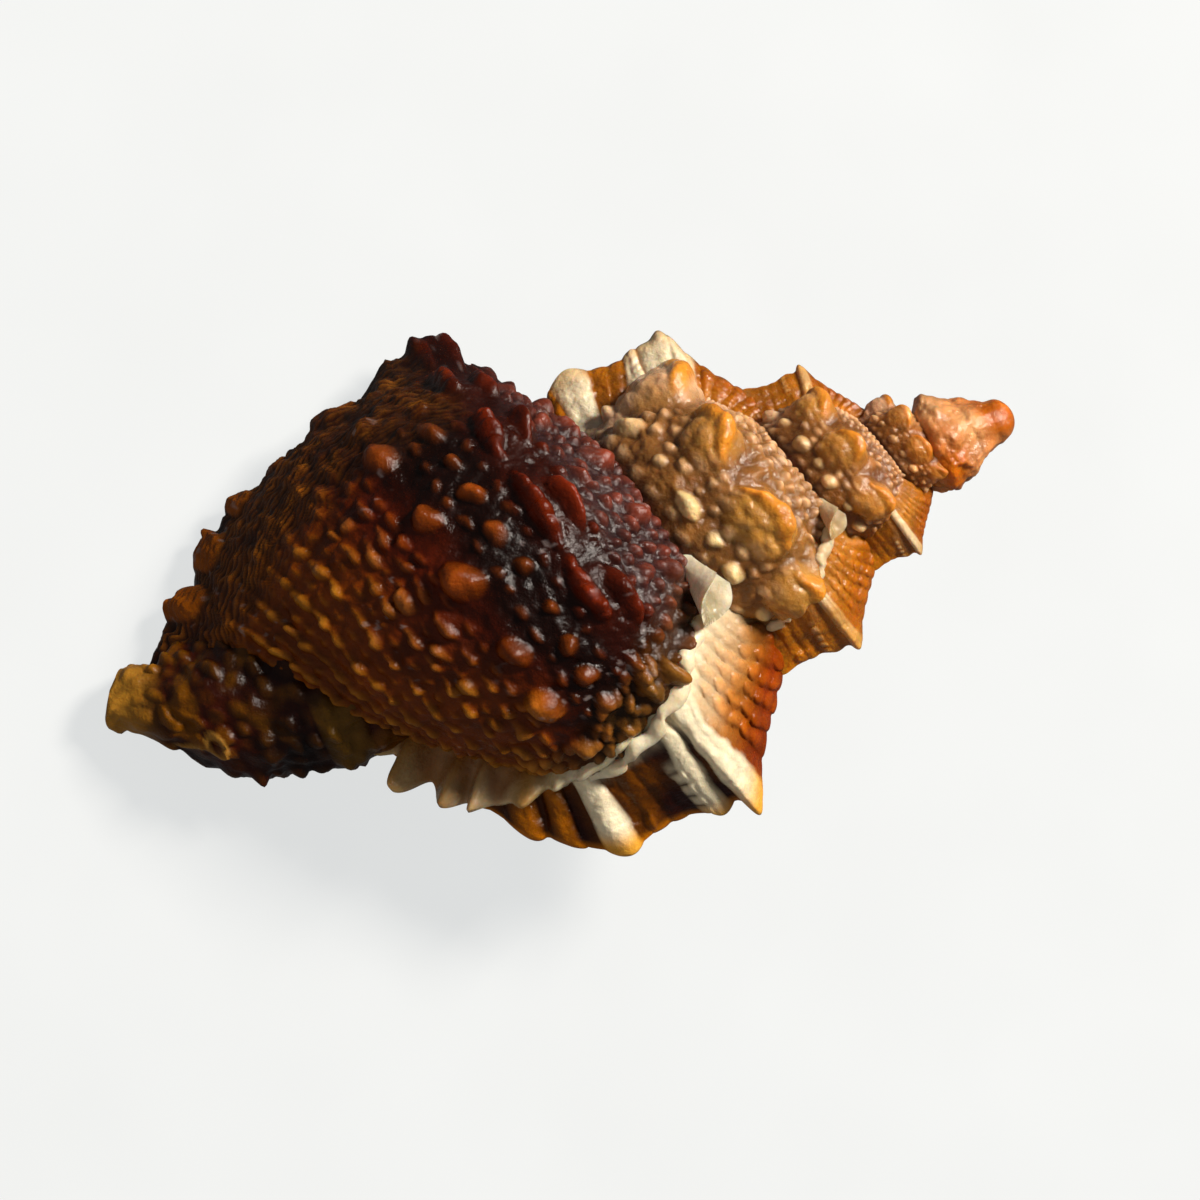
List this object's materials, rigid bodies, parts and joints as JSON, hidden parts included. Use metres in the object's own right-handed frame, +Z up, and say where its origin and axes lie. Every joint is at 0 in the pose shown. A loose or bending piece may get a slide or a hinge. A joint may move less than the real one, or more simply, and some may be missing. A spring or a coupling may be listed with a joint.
{
  "type": "frog shell",
  "caption": "Thick spiral seashell with knobbly brown whorls, fin-like varices down both sides, a short canal and an open oval aperture underneath.",
  "frame": {"origin": "on the surface the shell lies on, under the middle of its bounding box", "axes": "+X from the canal end towards the apex, +Y towards the last outer lip, +Z up; the shell lies on its aperture"},
  "size_m": [0.0586, 0.0355, 0.0214],
  "materials": {
    "shell_wall": "thick aragonite wall, red-brown to amber, cords and beads with a wet-looking gloss",
    "spire": "tan and caramel older whorls, orange worn apex, satin gloss",
    "enamel": "smooth cream-white porcelain rims, spouts and ribs of the varices",
    "aperture": "glossy cream to pale orange lining and callus of the aperture"
  },
  "bodies": {
    "root": {"shell": "shell_wall"}
  },
  "joints": []
}
